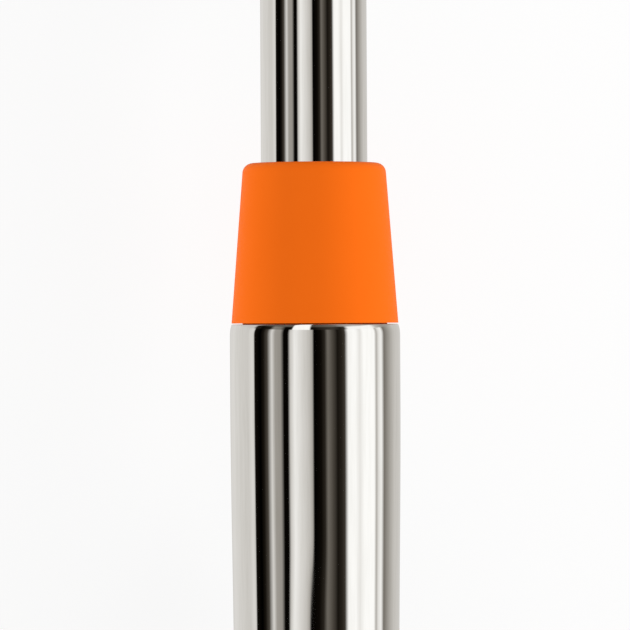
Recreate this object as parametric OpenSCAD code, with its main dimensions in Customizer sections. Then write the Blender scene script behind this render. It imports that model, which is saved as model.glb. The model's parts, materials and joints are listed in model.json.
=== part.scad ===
// Carpet knee kicker: a telescoping tube with a toothed gripping head at the front end
// and a padded bumper, which is struck with the knee, at the rear end.
// +X points from the bumper to the head and +Z is up. The origin is on the floor, under the
// middle of the tool at its shortest length, with the pins drawn in.

/* [Tubes] */
// Outside diameter of the front tube, which slides
inner_d = 25; // [23:0.5:26]
// Outside diameter of the rear tube at its mouth
outer_d = 40; // [39:0.5:42]
// Outside diameter of the rear tube behind its taper
outer_rear_d = 38.8; // [38.4:0.2:39]
// Length of the rear tube
outer_len = 176; // [172:1:184]
// Bare length of the front tube between collar and head, with the tool at its shortest
bare_len = 46; // [42:1:60]
// Slope of the tubes, rising to the rear, in degrees
tilt = 7; // [5:0.5:8]
// Height of the tube's axis above the floor, at the rear tube's mouth
mouth_z = 41; // [40:0.5:43]

/* [Length lock] */
// Distance from one length stop to the next
stop_pitch = 28; // [26:1:28]
// Number of length stops
stop_count = 4; // [3:1:4]

/* [Collar] */
// Length of the collar's cone
collar_len = 38; // [36:1:42]
// Diameter of the collar against the rear tube
collar_base_d = 39.2; // [38:0.2:39.4]
// Diameter of the collar's cone at its small end
collar_top_d = 33.4; // [32:0.2:36]

/* [Head] */
// Length of the head's body, without its neck
head_len = 96; // [94:1:100]
// Width of the head
head_w = 84; // [84:1:88]
// Height of the head's roof above the floor
roof_z = 38; // [38:0.5:39]
// Wall of the head's casting
head_wall = 3.5; // [3:0.1:3.6]
// Number of pins in each of the two rows
pins_per_row = 9; // [7:2:9]
// Lean of the pins from the vertical, in degrees
pin_lean = 30; // [25:1:31]

/* [Bumper] */
// Width of the pad
pad_w = 156; // [150:1:170]
// Height of the pad
pad_h = 138; // [132:1:142]
// Thickness of the pad's foam
foam_t = 54; // [45:1:65]

/* [Hidden] */
$fn = 96;

CLR = 0.05; // clearance of a close fit, on the radius
CUT = 0.1; // how far a cutter runs past the face that it opens

// Rear tube, along the tube's axis: 0 is its mouth and the head lies at positive values.
outer_r = outer_d / 2;
outer_rear_r = outer_rear_d / 2;
bore_r = outer_rear_r - 1.4;
inner_r = inner_d / 2;
inner_bore_r = inner_r - 1.5;
taper_start = -15;
taper_end = -75;
lip_len = 4;
lip_drop = 0.8;
spigot_len = 24;

// Head, placed from the tube's own length
neck_start = collar_len + bare_len;
neck_len = 42;
socket_end = neck_start + neck_len - 4;
neck_r = inner_r + 4;
inner_tail = -(outer_len - 12);
bush_len = 22;
bush_r = bore_r - 0.3;

// Length lock, under the rear tube
lock_x = -52;
window_len = 15;
window_w = 9;
dog_w = 7.6;
hole_w = 8.6;
pivot_x = -76;
pivot_z = -27;
pivot_r = 2.5;
spring_x = -98;
spring_seat = -28.7;
cheek_gap = 14;
steel_t = 1.6;
saddle_r = outer_rear_r + 0.07;

// Bumper, at the rear tube's end
flange_t = 6;
plate_t = 3;
board_t = 8;
cover_t = 1.6;
flange_x = -outer_len;
plate_x = flange_x - flange_t;
board_x = plate_x - plate_t;
foam_x = board_x - board_t;
pad_rear = foam_x - foam_t - cover_t;
pad_front = board_x + cover_t;
pad_low = (mouth_z - pad_front * sin(tilt)) / cos(tilt);
pad_mid = pad_h / 2 - pad_low;
bolt_half = 28;
plate_w = 120;
plate_h = 116;
pad_corner = 26;
pad_edge = 16;

// Head, along X from its rear wall
body_gap = neck_start + 33;
nose_z = 10;
roof_front = 58;
dial_x = 38;
dial_r = 17.5;
boss_z = roof_z + 1.5;
roof_in_z = roof_z - 4;
spindle_r = 5;
dial_z = boss_z + 0.4;
dial_top = dial_z + 10.4;
depth_travel = 7;
dial_turn = 300;
carriage_z = 15.5;
carriage_top = 22;
cap_top = 23.5;
carriage_rear = 12;
carriage_front = 70;
carriage_w = 68;
post_x = [19, 63];
post_r = 2.5;
post_foot = 7.6;
counterbore_r = 4.8;
pin_r = 0.9;
pin_rows = [26, 46];
pin_pitch = 8;
pin_tip_z = 1;
cap_screws = [for (x = [17, 65], y = [-30, 30]) [x, y]];
blade_t = 1.2;
blade_low = 0.3;
blade_high = 7;
rod_x = [9, 80];
rod_z = 4.2;
rod_r = 1.5;
cam_top = roof_in_z - 0.3;
ramp_z = 31;
follower_z = ramp_z - 1.8;
follower_r = 9.4;
shoulder_z = 26;
track_r = 13;

// The whole tool is centred on the origin along X.
rear_reach = pad_edge - (pad_rear + pad_edge) * cos(tilt) + (pad_low - pad_edge) * sin(tilt);
front_reach = body_gap + head_len;
mouth_x = (rear_reach - front_reach) / 2;
head_x = mouth_x + body_gap;

// Points of an arc about [x, y], from angle a to angle b
function arc(x, y, r, a, b, n = 8) =
    [for (i = [0:n]) let (t = a + (b - a) * i / n) [x + r * cos(t), y + r * sin(t)]];

// Outline of a rectangle of width w and height h with corners of radius r, centred on the origin
function round_rect(w, h, r) = concat(
    arc(w / 2 - r, h / 2 - r, r, 0, 90),
    arc(-w / 2 + r, h / 2 - r, r, 90, 180),
    arc(-w / 2 + r, -h / 2 + r, r, 180, 270),
    arc(w / 2 - r, -h / 2 + r, r, 270, 360)
);

// Points that round the corner [x, y, radius] between its neighbours a and c
function fillet(a, p, c, n = 5) =
    let (u = [a[0] - p[0], a[1] - p[1]], v = [c[0] - p[0], c[1] - p[1]], du = u / norm(u), dv = v / norm(v),
         half = acos(du * dv) / 2, mid = [p[0], p[1]] + (du + dv) / norm(du + dv) * p[2] / sin(half),
         run = p[2] / tan(half), start = [p[0], p[1]] + du * run - mid, stop = [p[0], p[1]] + dv * run - mid,
         a0 = atan2(start[1], start[0]), turn = (atan2(stop[1], stop[0]) - a0 + 540) % 360 - 180)
    [for (i = [0:n]) mid + p[2] * [cos(a0 + turn * i / n), sin(a0 + turn * i / n)]];

// Outline through the corners [x, y, radius]
function rounded(list) = let (n = len(list)) [
    for (i = [0:n - 1], q = list[i][2] > 0 ? fillet(list[(i + n - 1) % n], list[i], list[(i + 1) % n])
        : [[list[i][0], list[i][1]]]) q
];

// Radius of the rear tube at x, where it eases from its mouth down to its rear size
function outer_at(x) =
    let (t = min(1, max(0, (taper_start - x) / (taper_start - taper_end))))
    outer_r - (outer_r - outer_rear_r) * (1 - cos(180 * t)) / 2;

module along_tube() {
    translate([mouth_x, 0, mouth_z]) rotate([0, tilt, 0]) children();
}

module at_head() {
    translate([head_x, 0, 0]) children();
}

// A solid of revolution about the X axis: each point is [radius, x]
module x_lathe(points) {
    rotate([0, 90, 0]) rotate_extrude() polygon(points);
}

module x_rod(x0, x1, r) {
    translate([x0, 0, 0]) rotate([0, 90, 0]) cylinder(h = x1 - x0, r = r);
}

module x_pipe(x0, x1, r_out, r_in) {
    difference() {
        x_rod(x0, x1, r_out);
        x_rod(x0 - CUT, x1 + CUT, r_in);
    }
}

module y_rod(x, z, r, len) {
    translate([x, 0, z]) rotate([90, 0, 0]) cylinder(h = len, r = r, center = true);
}

module z_rod(x, y, z0, z1, r) {
    translate([x, y, z0]) cylinder(h = z1 - z0, r = r);
}

// A plate across the tube's axis, from x0 to x1, centred zc above the axis
module x_slab(x0, x1, w, h, r, zc = 0) {
    translate([x0, 0, zc]) rotate([90, 0, 90]) linear_extrude(x1 - x0) polygon(round_rect(w, h, r));
}

// A side outline of [x, z] points, w wide across Y
module side_plate(points, w) {
    translate([0, w / 2, 0]) rotate([90, 0, 0]) linear_extrude(w) polygon(points);
}

// A helical spring about the Z axis, from z0 to z1
module coil_spring(z0, z1, r, wire, turns) {
    sides = 6;
    steps = 14 * turns;
    rise = z1 - z0 - wire;
    points = [
        for (i = [0:steps], j = [0:sides - 1])
            let (a = 360 * turns * i / steps, b = 360 * j / sides, q = r + wire / 2 * cos(b))
                [q * cos(a), q * sin(a), z0 + wire / 2 + rise * i / steps + wire / 2 * sin(b)]
    ];
    walls = [
        for (i = [0:steps - 1], j = [0:sides - 1])
            let (k = (j + 1) % sides)
                [i * sides + j, (i + 1) * sides + j, (i + 1) * sides + k, i * sides + k]
    ];
    first = [for (j = [0:sides - 1]) j];
    last = [for (j = [sides - 1:-1:0]) steps * sides + j];
    polyhedron(points, concat([first, last], walls), convexity = 10);
}

module for_bolts(half_w, half_h) {
    for (y = [-half_w, half_w], z = [-half_h, half_h]) translate([0, y, z]) children();
}

// ---- Tubes, collar and their small parts ----

// The wide tube. Its mouth rolls in to a lip, and its outside eases to a smaller size at the rear.
module outer_tube() {
    taper = [for (i = [0:12]) let (x = taper_start + (taper_end - taper_start) * i / 12) [outer_at(x), x]];
    lip = [for (a = [0:15:90]) [outer_r - lip_drop + lip_drop * cos(a), lip_len * (sin(a) - 1)]];
    color("silver") along_tube() difference() {
        x_lathe(concat([[bore_r, 0], [bore_r, -outer_len], [outer_rear_r, -outer_len]],
            [for (i = [12:-1:0]) taper[i]], lip));
        lock_window();
        translate([-spigot_len / 2, 0, 0]) rotate([180, 0, 0]) {
            countersink(outer_r - 0.2);
            cylinder(h = outer_r + 1, r = 1.9);
            translate([0, 0, outer_r - 0.2]) cylinder(h = 1, r = 3.6);
        }
    }
}

module lock_window() {
    translate([lock_x - window_len / 2, -window_w / 2, -outer_r - 1]) cube([window_len, window_w, 4]);
}

// The shape of a countersunk screw standing along +Z with its flat head at height top
module countersink(top, grow = 0) {
    translate([0, 0, bore_r - 4.5 - grow]) cylinder(h = 5, r = 1.9 + grow);
    translate([0, 0, bore_r]) cylinder(h = top - bore_r, r1 = 1.9 + grow, r2 = 3.6 + grow);
}

module collar_screw() {
    color("gainsboro") along_tube() translate([-spigot_len / 2, 0, 0]) rotate([180, 0, 0]) difference() {
        countersink(outer_r - 0.2, -CLR);
        translate([-2.2, -0.4, outer_r - 1]) cube([4.4, 0.8, 2]);
        translate([-0.4, -2.2, outer_r - 1]) cube([0.8, 4.4, 2]);
    }
}

// The plastic cone that guides the front tube, with a spigot that fills the rear tube's mouth
module tube_collar() {
    corner = 2.4;
    lean = atan((collar_base_d - collar_top_d) / 2 / collar_len);
    top_r = collar_top_d / 2;
    color("darkorange") along_tube() difference() {
        x_lathe(concat(
            [[inner_r + 0.15, collar_len], [inner_r + 0.15, -spigot_len], [bore_r - CLR, -spigot_len],
             [bore_r - CLR, 0], [collar_base_d / 2, 0]],
            arc(top_r - corner, collar_len - corner, corner, lean, 90)));
        translate([-spigot_len / 2, 0, 0]) rotate([180, 0, 0]) countersink(outer_r);
    }
}

// The front tube. A row of square holes along its underside takes the lock's dog.
module inner_tube() {
    color("silver") along_tube() difference() {
        x_pipe(inner_tail, socket_end, inner_r, inner_bore_r);
        for (i = [0:stop_count - 1])
            translate([lock_x - i * stop_pitch - hole_w / 2, -hole_w / 2, -inner_r - 1])
                cube([hole_w, hole_w, 4]);
        neck_pin_holes();
        y_rod(inner_tail + bush_len / 2, 0, 1.5 + CLR, 2 * outer_d);
    }
}

module rear_guide_bush() {
    color("dimgray") along_tube() difference() {
        union() {
            x_rod(inner_tail - 2, inner_tail + bush_len, bush_r);
            x_rod(inner_tail + bush_len, inner_tail + bush_len + 1.5, bush_r - 1.5);
        }
        x_rod(inner_tail, inner_tail + bush_len + 2, inner_r + CLR);
        x_rod(inner_tail - 3, inner_tail + 1, inner_bore_r - 2);
        y_rod(inner_tail + bush_len / 2, 0, 1.5 + CLR, 2 * outer_d);
    }
}

module bush_pin() {
    color("gainsboro") along_tube() y_rod(inner_tail + bush_len / 2, 0, 1.5, 2 * bush_r - 1);
}

// ---- Length lock ----

// A saddle welded under the rear tube, with two cheeks that carry the lever's pivot
module lock_bracket() {
    saddle_len = 54;
    saddle_x = pivot_x + 8 - saddle_len;
    cheek = rounded([[-108, -18.7, 0], [-66, -18.7, 0], [-66, -20.9, 0], [-43, -20.9, 1.5], [-43, -25.5, 3],
                     [-68, -33.5, 6], [-82, -33.5, 6], [-108, -20.5, 1]]);
    color("dimgray") along_tube() difference() {
        union() {
            intersection() {
                x_pipe(saddle_x, saddle_x + saddle_len, saddle_r + steel_t, saddle_r);
                translate([saddle_x - 1, -15, -outer_d]) cube([saddle_len + 2, 30, outer_d - 8]);
            }
            for (y = [-1, 1]) translate([0, y * (cheek_gap + steel_t) / 2, 0]) side_plate(cheek, steel_t);
        }
        y_rod(pivot_x, pivot_z, pivot_r + CLR, outer_d);
    }
}

// The lever. Its dog stands through the rear tube's window, under one of the front tube's holes.
module lock_lever() {
    color("lightslategray") along_tube() difference() {
        union() {
            side_plate(lever_outline(), dog_w);
            y_rod(pivot_x, pivot_z, 4.4, cheek_gap - 0.6);
            z_rod(spring_x, 0, spring_seat - 1, spring_seat + 2, 2.2);
        }
        y_rod(pivot_x, pivot_z, pivot_r + 0.06, outer_d);
    }
}

function lever_outline() = rounded([
    [lock_x + 3.5, -inner_r - 0.4, 0.8], [lock_x - 3.5, -inner_r - 0.4, 0.8], [lock_x - 3.5, -24, 1.5],
    [pivot_x - 3, -23.6, 5], [-92, spring_seat, 2], [-103, spring_seat, 2], [-108, -32, 2],
    [-130, -35.2, 1], [-130, -38.4, 1], [-106, -35.6, 3], [-94, -32.2, 3], [-84, -31.4, 3],
    [pivot_x + 4, -31.4, 4], [lock_x + 3.5, -27.5, 3]
]);

module lever_grip() {
    grip = rounded([[-104.5, -30.4, 1.5], [-126, -33, 3], [-136, -34, 3], [-136.5, -41.8, 3.4],
                    [-120, -40.8, 20], [-104.5, -38.4, 2]]);
    color("darkorange") along_tube() difference() {
        side_plate(grip, 17);
        side_plate(lever_outline(), dog_w + 2 * CLR);
        y_rod(-98.5, -34, 7, dog_w + 2 * CLR);
    }
}

module lever_pivot_pin() {
    span = cheek_gap + 2 * steel_t;
    color("gainsboro") along_tube() {
        y_rod(pivot_x, pivot_z, pivot_r, span);
        for (y = [-1, 1]) translate([0, y * (span / 2 + 0.75), 0]) y_rod(pivot_x, pivot_z, 4, 1.5);
    }
}

module lever_spring() {
    color("gainsboro") along_tube() translate([spring_x, 0, 0])
        coil_spring(spring_seat + CLR, -(saddle_r + steel_t + CLR), 3, 0.9, 3.5);
}

// ---- Bumper ----

// The casting that holds the rear tube's end, with a square flange for the plate
module bumper_socket() {
    sleeve_len = 26;
    color("silver") along_tube() difference() {
        union() {
            x_rod(flange_x, flange_x + sleeve_len, outer_rear_r + 4);
            translate([flange_x, 0, 0]) rotate([0, 90, 0]) cylinder(h = 8, r1 = 30, r2 = outer_rear_r + 4);
            x_slab(plate_x, flange_x, 74, 74, 9);
        }
        x_rod(flange_x, flange_x + sleeve_len + 1, outer_rear_r + CLR);
        x_rod(plate_x - 1, flange_x + 1, bore_r - 4);
        for_bolts(bolt_half, bolt_half) x_rod(plate_x - 1, flange_x + 1, 3.3);
        for (a = [90, 270]) rotate([a, 0, 0]) z_rod(-outer_len + 17, 0, outer_rear_r - 1, 30, 2.5);
    }
}

module socket_set_screws() {
    color("gray") along_tube() for (a = [90, 270]) rotate([a, 0, 0]) difference() {
        z_rod(-outer_len + 17, 0, outer_rear_r + CLR, outer_rear_r + 3.4, 2.5 - CLR);
        translate([-outer_len + 17, 0, outer_rear_r + 1.6]) cylinder(h = 3, r = 1.3, $fn = 6);
    }
}

module bumper_plate() {
    color("darkslategray") along_tube() difference() {
        x_slab(board_x, plate_x, plate_w, plate_h, 14);
        for_bolts(bolt_half, bolt_half) x_rod(board_x - 1, plate_x + 1, 3.3);
        for_bolts(plate_w / 2 - 11, plate_h / 2 - 11) x_rod(board_x - 1, plate_x + 1, 2.3);
        x_rod(board_x - 1, plate_x + 1, 11);
    }
}

module flange_bolts() {
    color("gainsboro") along_tube() for_bolts(bolt_half, bolt_half) {
        x_rod(foam_x + 1, flange_x, 3);
        translate([flange_x, 0, 0]) rotate([0, 90, 0]) cylinder(h = 1.2, r = 6.2);
        translate([flange_x + 1.2, 0, 0]) rotate([0, 90, 0]) cylinder(h = 3.6, r = 5.77, $fn = 6);
    }
}

module tee_nuts() {
    color("gainsboro") along_tube() for_bolts(bolt_half, bolt_half) {
        x_pipe(foam_x, foam_x + 1.2, 9, 3 + CLR);
        x_pipe(foam_x + 1.2, board_x - 0.5, 3.9, 3 + CLR);
    }
}

module plate_screws() {
    color("gainsboro") along_tube() for_bolts(plate_w / 2 - 11, plate_h / 2 - 11) difference() {
        union() {
            x_rod(foam_x + 1, plate_x, 2);
            x_lathe(concat([[0, plate_x], [4.2, plate_x], [4.2, plate_x + 0.8]],
                arc(0, plate_x + 0.8, 4.2, 30, 80, 4), [[0, plate_x + 3]]));
        }
        translate([plate_x + 1.4, -0.4, -2.4]) cube([4, 0.8, 4.8]);
        translate([plate_x + 1.4, -2.4, -0.4]) cube([4, 4.8, 0.8]);
    }
}

module pad_board() {
    color("burlywood") along_tube() difference() {
        x_slab(foam_x, board_x, pad_w - 2 * cover_t - 0.2, pad_h - 2 * cover_t - 0.2,
            pad_corner - cover_t - 0.1, pad_mid);
        for_bolts(bolt_half, bolt_half) {
            x_rod(foam_x - 1, board_x + 1, 4);
            x_rod(foam_x - 1, foam_x + 1.2, 9.1);
        }
        for_bolts(plate_w / 2 - 11, plate_h / 2 - 11) x_rod(foam_x + 0.9, board_x + 1, 2.1);
    }
}

// A block with rounded corners, whose rear edges are rounded over to radius pad_edge
module cushion(x0, x1, in_by) {
    half_w = pad_w / 2 - in_by;
    half_h = pad_h / 2 - in_by;
    intersection() {
        x_slab(x0, x1, 2 * half_w, 2 * half_h, pad_corner - in_by, pad_mid);
        translate([0, 0, pad_mid]) side_plate(rear_rounded(x0, x1 + 1, half_h, pad_edge - in_by), 2 * pad_w);
        translate([0, 0, pad_mid - pad_h]) linear_extrude(2 * pad_h)
            polygon(rear_rounded(x0, x1 + 1, half_w, pad_edge - in_by));
    }
}

function rear_rounded(x0, x1, half, r) =
    rounded([[x1, half + 1, 0], [x0 + 2 * r, half + 1, 0], [x0 + 2 * r, half, 0], [x0, half, r],
             [x0, -half, r], [x0 + 2 * r, -half, 0], [x0 + 2 * r, -half - 1, 0], [x1, -half - 1, 0]]);

module pad_foam() {
    color("dimgray") along_tube() cushion(pad_rear + cover_t + 0.1, foam_x - 0.1, cover_t + 0.1);
}

// The sewn cover. It wraps the foam and the board, and its hem lies round the plate.
module pad_cover() {
    color("black") along_tube() difference() {
        cushion(pad_rear, pad_front, 0);
        cushion(pad_rear + cover_t, board_x, cover_t);
        x_slab(board_x - 1, pad_front + 1, plate_w + 4, plate_h + 4, 16);
    }
}

// ---- Head ----

// Side outline of the head, in by t from its outside: a flat roof, and a nose that slopes down
function head_side(t) =
    let (slope = atan((roof_z - nose_z) / (head_len - roof_front)), low = t > 0 ? -1 : 0, r = t > 0 ? 1 : 4,
         drop = t / cos(slope))
    rounded([[t, low, 0], [head_len - t, low, 0], [head_len - t, nose_z + t * tan(slope) - drop, r],
             [roof_front - (drop - t) / tan(slope), roof_z - t, 3.5 * r], [t, roof_z - t, r]]);

// Front outline of the head, in by t, with rounded shoulders
function head_front(t) =
    let (half = head_w / 2 - t, top = roof_z - t, low = t > 0 ? -1 : 0)
    rounded([[half, low, 0], [half, top, 8 - t], [-half, top, 8 - t], [-half, low, 0]]);

module head_block(t, top) {
    intersection() {
        side_plate(head_side(t), head_w - 2 * t);
        rotate([90, 0, 90]) linear_extrude(head_len) polygon(head_front(t));
        translate([head_len / 2, 0, -2]) linear_extrude(top + 2)
            polygon(round_rect(head_len - 2 * t, head_w - 2 * t, 9 - t));
    }
}

// Webs that spread from the neck to the head's rear wall
module neck_webs() {
    plan = [[-30, -neck_r + 2], [4, -head_w / 2 + 6], [4, head_w / 2 - 6], [-30, neck_r - 2]];
    intersection() {
        linear_extrude(roof_z) polygon(plan);
        side_plate([[-30, 23], [4, 9], [4, roof_z - 1], [-30, 36]], head_w);
    }
}

module neck_pin_holes() {
    for (x = [10, 24]) y_rod(neck_start + x, 0, 2 + CLR, outer_d);
}

// The cast body: a box open below, whose neck takes the front tube and fades out over the roof
module head_housing() {
    neck = [[0, neck_start], [neck_r - 1, neck_start], [neck_r, neck_start + 1], [neck_r, neck_start + 34],
            [neck_r - 4.5, neck_start + 58], [0, neck_start + 58]];
    color("silver") difference() {
        union() {
            difference() {
                union() {
                    at_head() head_block(0, roof_z + 1);
                    at_head() neck_webs();
                    at_head() z_rod(dial_x, 0, roof_in_z, boss_z, dial_r + 1);
                    along_tube() x_lathe(neck);
                }
                at_head() head_block(head_wall, roof_in_z);
            }
            along_tube() x_rod(neck_start + 20, neck_start + neck_len, neck_r - 2);
            at_head() intersection() {
                for (x = post_x) z_rod(x, 0, shoulder_z, roof_in_z + 1, 4.6);
                side_plate(head_side(1), head_w);
            }
        }
        along_tube() x_rod(neck_start - 1, socket_end, inner_r + CLR);
        along_tube() neck_pin_holes();
        at_head() {
            z_rod(dial_x, 0, roof_in_z - 1, boss_z + 1, spindle_r);
            z_rod(dial_x, track_r, roof_in_z + 1, boss_z + 1, 1.6);
            for (x = post_x) z_rod(x, 0, shoulder_z - 1, shoulder_z + 5.2, 2 + CLR);
            for (x = rod_x) y_rod(x, rod_z, rod_r + CLR, 2 * head_w);
        }
    }
}

module neck_roll_pins() {
    color("gainsboro") along_tube() for (x = [10, 24]) difference() {
        y_rod(neck_start + x, 0, 2, 2 * neck_r - 0.6);
        y_rod(neck_start + x, 0, 1, 2 * neck_r);
    }
}

// One nap blade: a strip along X whose lower edge is a saw with teeth raked to the front
module nap_blade() {
    x0 = 5;
    x1 = 88;
    count = 20;
    pitch = (x1 - x0) / count;
    teeth = [
        for (i = [0:count - 1], p = [[0, 2.4], [0.75, 0], [0.95, 0]])
            [x0 + pitch * (i + p[0]), blade_low + p[1]]
    ];
    back = [[x1, blade_low + 2.4], [x1, blade_high - 2], [x1 - 4, blade_high], [x0, blade_high]];
    difference() {
        side_plate(concat(teeth, back), blade_t);
        for (x = rod_x) y_rod(x, rod_z, rod_r + CLR, 10);
    }
}

function blade_y() = [for (i = [-4.5:1:4.5]) pin_pitch * i];

module nap_blades() {
    color("lightslategray") at_head() for (y = blade_y()) translate([0, y, 0]) nap_blade();
}

module blade_spacers() {
    gap = pin_pitch - blade_t - 0.1;
    edge = (head_w / 2 - head_wall) - (4.5 * pin_pitch + blade_t / 2) - 1.1;
    color("gainsboro") at_head() for (x = rod_x) {
        for (i = [-4:4]) translate([0, pin_pitch * i, 0]) spacer(x, gap);
        for (s = [-1, 1])
            translate([0, s * (4.5 * pin_pitch + blade_t / 2 + edge / 2 + 0.05), 0]) spacer(x, edge);
    }
}

module spacer(x, len) {
    difference() {
        y_rod(x, rod_z, 2.8, len);
        y_rod(x, rod_z, rod_r + CLR, len + 1);
    }
}

module blade_tie_rods() {
    color("gainsboro") at_head() for (x = rod_x) {
        y_rod(x, rod_z, rod_r, head_w);
        translate([0, -head_w / 2 - 1, 0]) difference() {
            y_rod(x, rod_z, 3, 2);
            translate([x - 3, -1.5, rod_z - 0.4]) cube([6, 1, 0.8]);
        }
    }
}

module tie_rod_nuts() {
    color("gainsboro") at_head() for (x = rod_x)
        translate([x, head_w / 2, rod_z]) rotate([-90, 0, 0]) cylinder(h = 2.4, r = 3.4, $fn = 6);
}

// ---- Pin depth adjuster ----

// The dial: a scalloped knob with a square socket below, and a track for the detent ball
module depth_dial() {
    grips = 18;
    color("darkorange") at_head() translate([dial_x, 0, 0]) difference() {
        rotate_extrude() polygon(concat([[0, dial_z], [dial_r, dial_z], [dial_r, dial_top - 1.5]],
            arc(dial_r - 1.5, dial_top - 1.5, 1.5, 15, 90, 5), [[0, dial_top]]));
        for (i = [0:grips - 1]) rotate([0, 0, 360 * (i + 0.5) / grips])
            translate([dial_r + 1.3, 0, dial_z - 1]) cylinder(h = 20, r = 2.2, $fn = 32);
        translate([-3.6, -3.6, dial_z - 1]) cube([7.2, 7.2, 7]);
        cylinder(h = dial_top + 1, r = 2.1);
        translate([0, 0, dial_top - 3.4]) cylinder(h = 4, r = 4.6);
        rotate_extrude() translate([track_r, boss_z + 0.1]) circle(r = 1.6, $fn = 48);
        for (a = [90:60:390]) rotate([0, 0, a])
            translate([track_r, 0, boss_z + 0.1]) sphere(r = 1.95, $fn = 48);
    }
}

module dial_screw() {
    head_z = dial_top - 3.4;
    color("gainsboro") at_head() difference() {
        union() {
            z_rod(dial_x, 0, dial_z + 1.5, head_z, 1.9);
            z_rod(dial_x, 0, head_z, head_z + 2.4, 4);
        }
        translate([dial_x, 0, head_z + 1]) cylinder(h = 3, r = 1.6, $fn = 6);
    }
}

// Face cam: its spindle turns in the roof and carries the dial, and its lower face is a helical
// ramp that falls by the pins' full travel in the dial's full turn.
module dial_cam() {
    color("lightslategray") at_head() translate([dial_x, 0, 0]) difference() {
        union() {
            translate([0, 0, ramp_z + 1]) cylinder(h = cam_top - ramp_z - 1, r = 12);
            translate([0, 0, ramp_z + 1]) cylinder(h = boss_z - ramp_z - 1, r = spindle_r - CLR);
            translate([-3.5, -3.5, boss_z - 1]) cube([7, 7, 6]);
            cam_ramp();
        }
        translate([0, 0, boss_z - 2]) cylinder(h = 20, r = 1.95);
    }
}

module cam_ramp() {
    steps = 44;
    slit = 0.1;
    first = -30 + slit;
    last = 330 - slit;
    rings = [for (i = [0:steps]) first + (last - first) * i / steps];
    top = ramp_z + 1.2;
    points = [
        for (d = rings, p = [[7, 1], [11.8, 1], [11.8, 0], [7, 0]])
            let (low = ramp_z - depth_travel * min(1, max(0, d / dial_turn)))
                [p[0] * cos(180 - d), p[0] * sin(180 - d), p[1] == 1 ? low : top]
    ];
    walls = [
        for (i = [0:steps - 1], j = [0:3])
            let (k = (j + 1) % 4, a = i * 4 + j, b = i * 4 + k, c = a + 4, e = b + 4)
                for (t = [[a, e, b], [a, c, e]]) t
    ];
    polyhedron(points, concat([[0, 1, 2, 3], [for (j = [3:-1:0]) steps * 4 + j]], walls), convexity = 6);
}

module detent_ball() {
    color("gainsboro") at_head() translate([dial_x, track_r, boss_z + 0.1]) sphere(r = 1.5, $fn = 48);
}

module detent_spring() {
    color("gainsboro") at_head() translate([dial_x, track_r, 0])
        coil_spring(roof_in_z + 1, boss_z - 1.4, 1.2, 0.4, 4);
}

// ---- Pin carriage ----

// Where pin row x0, in column y, runs from the cap plate down to its tip
module along_pin(x0, y) {
    translate([x0, y, carriage_top]) rotate([0, 180 - pin_lean, 0]) children();
}

module for_pins() {
    half = (pins_per_row - 1) / 2;
    for (x = pin_rows, i = [-half:half]) along_pin(x, pin_pitch * i) children();
}

module pin_carriage() {
    color("dimgray") at_head() difference() {
        translate([carriage_rear, -carriage_w / 2, carriage_z])
            cube([carriage_front - carriage_rear, carriage_w, carriage_top - carriage_z]);
        for_pins() translate([0, 0, -2]) cylinder(h = 20, r = pin_r + 0.02, $fn = 24);
        for (x = post_x) {
            z_rod(x, 0, carriage_z - 1, carriage_top + 1, post_r + 0.08);
            z_rod(x, 0, carriage_z - 1, carriage_top - 1.5, counterbore_r);
        }
        for (p = cap_screws) z_rod(p[0], p[1], carriage_z - 1, carriage_top + 1, 1.5);
    }
}

module gripper_pins() {
    pin_len = (carriage_top - pin_tip_z) / cos(pin_lean);
    point_len = 5;
    color("lightslategray") at_head() intersection() {
        for_pins() {
            translate([0, 0, -1]) cylinder(h = pin_len - point_len + 1, r = pin_r, $fn = 24);
            translate([0, 0, pin_len - point_len]) cylinder(h = point_len, r1 = pin_r, r2 = 0.12, $fn = 24);
        }
        translate([0, -carriage_w / 2, 0]) cube([head_len, carriage_w, carriage_top]);
    }
}

// The plate that keeps the pins in the carriage. Its post follows the cam.
module pin_cap_plate() {
    color("silver") at_head() {
        difference() {
            translate([carriage_rear + 1, -carriage_w / 2 + 1, carriage_top])
                cube([carriage_front - carriage_rear - 2, carriage_w - 2, cap_top - carriage_top]);
            for (x = post_x) z_rod(x, 0, carriage_top - 1, cap_top + 1, post_r + 0.3);
            for (p = cap_screws) translate([p[0], p[1], carriage_top - CUT])
                cylinder(h = cap_top - carriage_top + 2 * CUT, r1 = 1.5, r2 = 3.1);
        }
        z_rod(dial_x - follower_r, 0, cap_top, follower_z, 1.5);
        translate([dial_x - follower_r, 0, follower_z]) sphere(r = 1.5, $fn = 32);
    }
}

module cap_plate_screws() {
    color("gainsboro") at_head() for (p = cap_screws) translate([p[0], p[1], 0]) {
        translate([0, 0, carriage_z + 0.5]) cylinder(h = carriage_top - carriage_z - 0.4, r = 1.4);
        translate([0, 0, carriage_top + CUT]) cylinder(h = cap_top - carriage_top - CUT, r1 = 1.4, r2 = 2.8);
    }
}

// Shoulder screws that hang from the roof: the carriage slides on them, against their springs.
module guide_screws() {
    color("gainsboro") at_head() for (x = post_x) difference() {
        union() {
            z_rod(x, 0, post_foot, post_foot + 1.6, 4);
            z_rod(x, 0, post_foot + 1.6, shoulder_z, post_r);
            z_rod(x, 0, shoulder_z, shoulder_z + 5, 2);
        }
        translate([x, 0, post_foot - 1]) cylinder(h = 2, r = 1.7, $fn = 6);
    }
}

module return_spring(x) {
    color("gainsboro") at_head() translate([x, 0, 0])
        coil_spring(post_foot + 1.6, carriage_top - 1.5, 3.5, 0.7, 4.5);
}

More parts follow.
